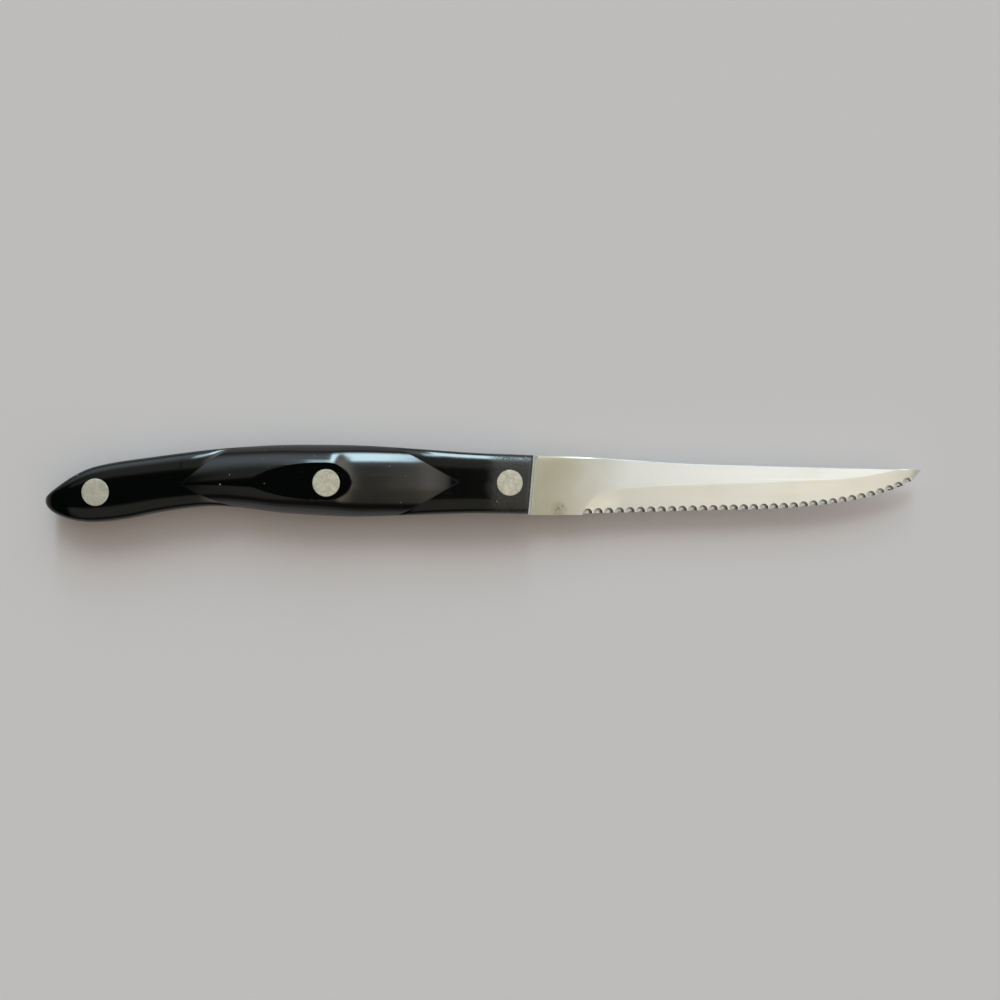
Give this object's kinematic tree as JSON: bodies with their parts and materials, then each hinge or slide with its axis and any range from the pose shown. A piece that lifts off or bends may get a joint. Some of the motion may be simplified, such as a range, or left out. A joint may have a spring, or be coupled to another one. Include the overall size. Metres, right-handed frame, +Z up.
{
  "type": "steak knife",
  "caption": "Full-tang steak knife with a pointed scalloped blade and black sculpted handle scales held by flush round rivets.",
  "frame": {"origin": "under the middle of the knife's length and height, on the surface that it lies on", "axes": "+X from butt to tip, +Y from edge to spine, +Z up, out of the right face, with the knife lying on its left side"},
  "size_m": [0.2152, 0.019, 0.013],
  "materials": {
    "blade_steel": "stainless steel, ground and polished lengthwise",
    "scale_resin": "black thermo resin, polished, a little scuffed at the front",
    "rivet_metal": "nickel silver, ground flush, slightly tarnished"
  },
  "bodies": {
    "root": {"blade": "blade_steel", "right_scale": "scale_resin", "left_scale": "scale_resin", "front_rivet_tube": "rivet_metal", "front_rivet_pin": "rivet_metal", "middle_rivet_tube": "rivet_metal", "middle_rivet_pin": "rivet_metal", "rear_rivet_tube": "rivet_metal", "rear_rivet_pin": "rivet_metal"}
  },
  "joints": []
}
